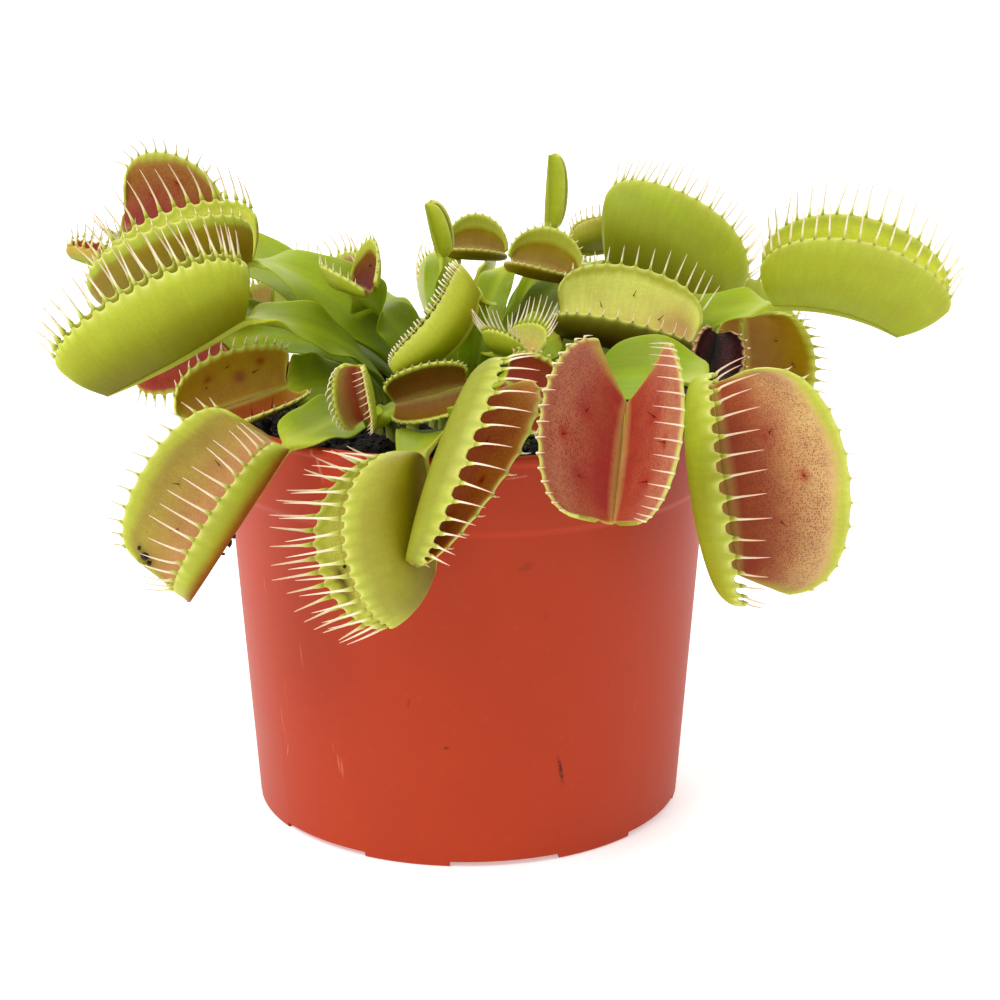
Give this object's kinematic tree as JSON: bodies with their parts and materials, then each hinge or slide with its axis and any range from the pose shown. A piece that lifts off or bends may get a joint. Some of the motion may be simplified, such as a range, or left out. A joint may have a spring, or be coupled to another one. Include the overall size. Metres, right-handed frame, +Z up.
{
  "type": "potted venus flytrap",
  "caption": "Venus flytrap with open and closed snap traps on waxy leaf stalks, growing in peat in a round tapered terracotta-coloured plastic nursery pot.",
  "frame": {"origin": "middle of the pot's flat underside", "axes": "+Z up, +X to the right and the plant's front towards -Y"},
  "size_m": [0.1534, 0.1426, 0.1099],
  "materials": {
    "pot_plastic": "thin moulded terracotta-coloured plastic, satin",
    "peat": "damp dark peat, rough",
    "leaf": "waxy green leaf, red inside the traps, pale teeth"
  },
  "bodies": {
    "root": {"pot": "pot_plastic", "soil": "peat", "leaf_left_closed": "leaf", "leaf_left_half_open": "leaf", "leaf_left_back_red": "leaf", "leaf_left_small_tip": "leaf", "leaf_left_low_red": "leaf", "leaf_left_brown": "leaf", "leaf_front_left_hanging": "leaf", "leaf_front_hanging": "leaf", "leaf_front_half_open": "leaf", "leaf_front_red_heart": "leaf", "leaf_right_hanging": "leaf", "leaf_right_back_brown": "leaf", "leaf_right_closed": "leaf", "leaf_back_green": "leaf", "leaf_middle_right": "leaf", "leaf_middle_narrow": "leaf", "leaf_middle_young": "leaf", "leaf_middle_red": "leaf", "leaf_middle_brown": "leaf", "leaf_front_small": "leaf", "leaf_middle_left": "leaf", "leaf_back_small_left": "leaf", "leaf_back_small_middle": "leaf", "leaf_back_small_right": "leaf", "leaf_bud_upright": "leaf", "leaf_bud_left": "leaf", "leaf_right_dead": "leaf", "leaf_rear_left": "leaf", "leaf_rear_middle": "leaf", "leaf_rear_right": "leaf", "leaf_rear_far_left": "leaf", "leaf_rear_far_right": "leaf", "leaf_rear_hanging": "leaf", "leaf_rear_left_hanging": "leaf"}
  },
  "joints": []
}
